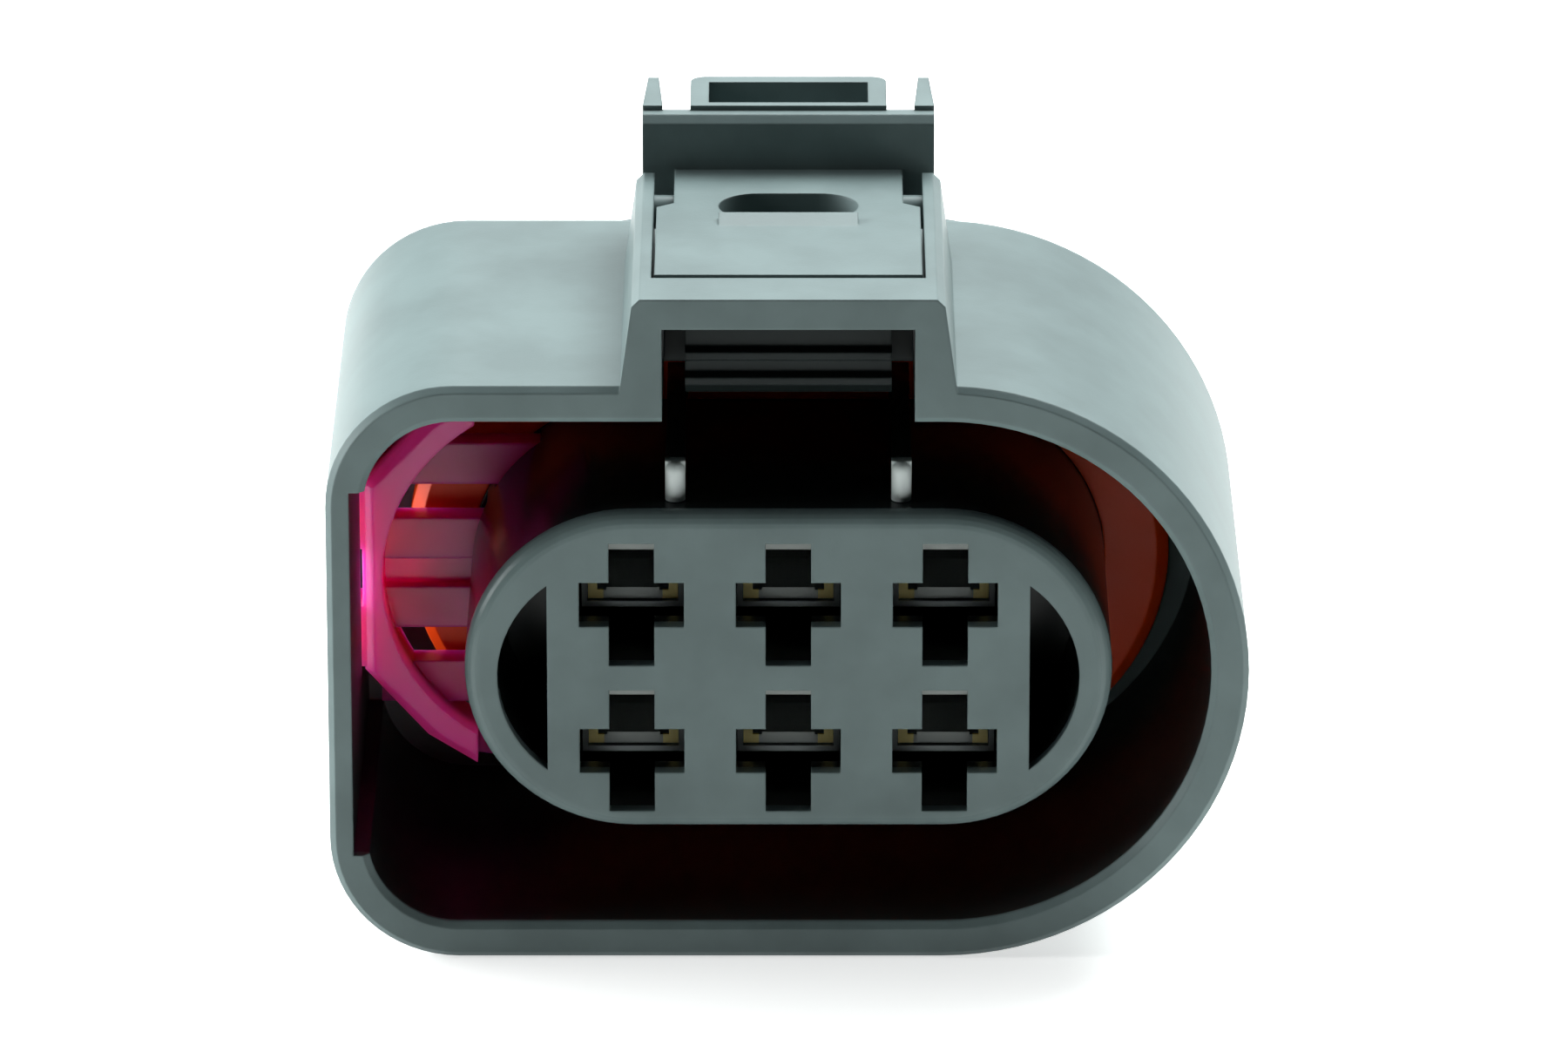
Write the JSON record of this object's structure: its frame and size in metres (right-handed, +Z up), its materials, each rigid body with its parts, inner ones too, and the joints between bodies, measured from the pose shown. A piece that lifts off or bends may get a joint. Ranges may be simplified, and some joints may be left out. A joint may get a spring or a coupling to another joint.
{
  "type": "sealed automotive connector",
  "caption": "Sealed wire-harness receptacle with a keyed shroud round a slotted core, a sprung top latch, a side-sliding secondary lock and sealed wire entries.",
  "frame": {"origin": "centre of the core's mating face", "axes": "-Y out of the mating face, +Y towards the wires, +Z up to the latch, +X away from the secondary lock's side"},
  "size_m": [0.0294, 0.0293, 0.0245],
  "materials": {
    "housing": "satin moulded, grey-green",
    "latch_lever": "satin moulded, grey-green",
    "secondary_lock": "semi-gloss moulded, magenta",
    "interface_seal": "silicone, orange",
    "contact": "tinned copper alloy strip",
    "contact_spring": "bright spring steel",
    "wire_seal": "silicone, blue"
  },
  "bodies": {
    "connector_body": {"housing": "housing", "interface_seal": "interface_seal", "contact_1": "contact", "contact_2": "contact", "contact_3": "contact", "contact_4": "contact", "contact_5": "contact", "contact_6": "contact", "contact_spring_1": "contact_spring", "contact_spring_2": "contact_spring", "contact_spring_3": "contact_spring", "contact_spring_4": "contact_spring", "contact_spring_5": "contact_spring", "contact_spring_6": "contact_spring", "wire_seal_1": "wire_seal", "wire_seal_2": "wire_seal", "wire_seal_3": "wire_seal", "wire_seal_4": "wire_seal", "wire_seal_5": "wire_seal", "wire_seal_6": "wire_seal"},
    "lever": {"latch_lever": "latch_lever"},
    "lock": {"secondary_lock": "secondary_lock"}
  },
  "joints": [
    {"name": "latch_press", "type": "hinge", "parent": "connector_body", "child": "lever", "pos_m": [0, 0.0106, 0.0119], "axis": [-1, 0, 0], "range_deg": [0, 10], "stiffness_Nm_per_rad": 0.05},
    {"name": "lock_push", "type": "slide", "parent": "connector_body", "child": "lock", "axis": [1, 0, 0], "range_m": [0, 0.002]}
  ]
}
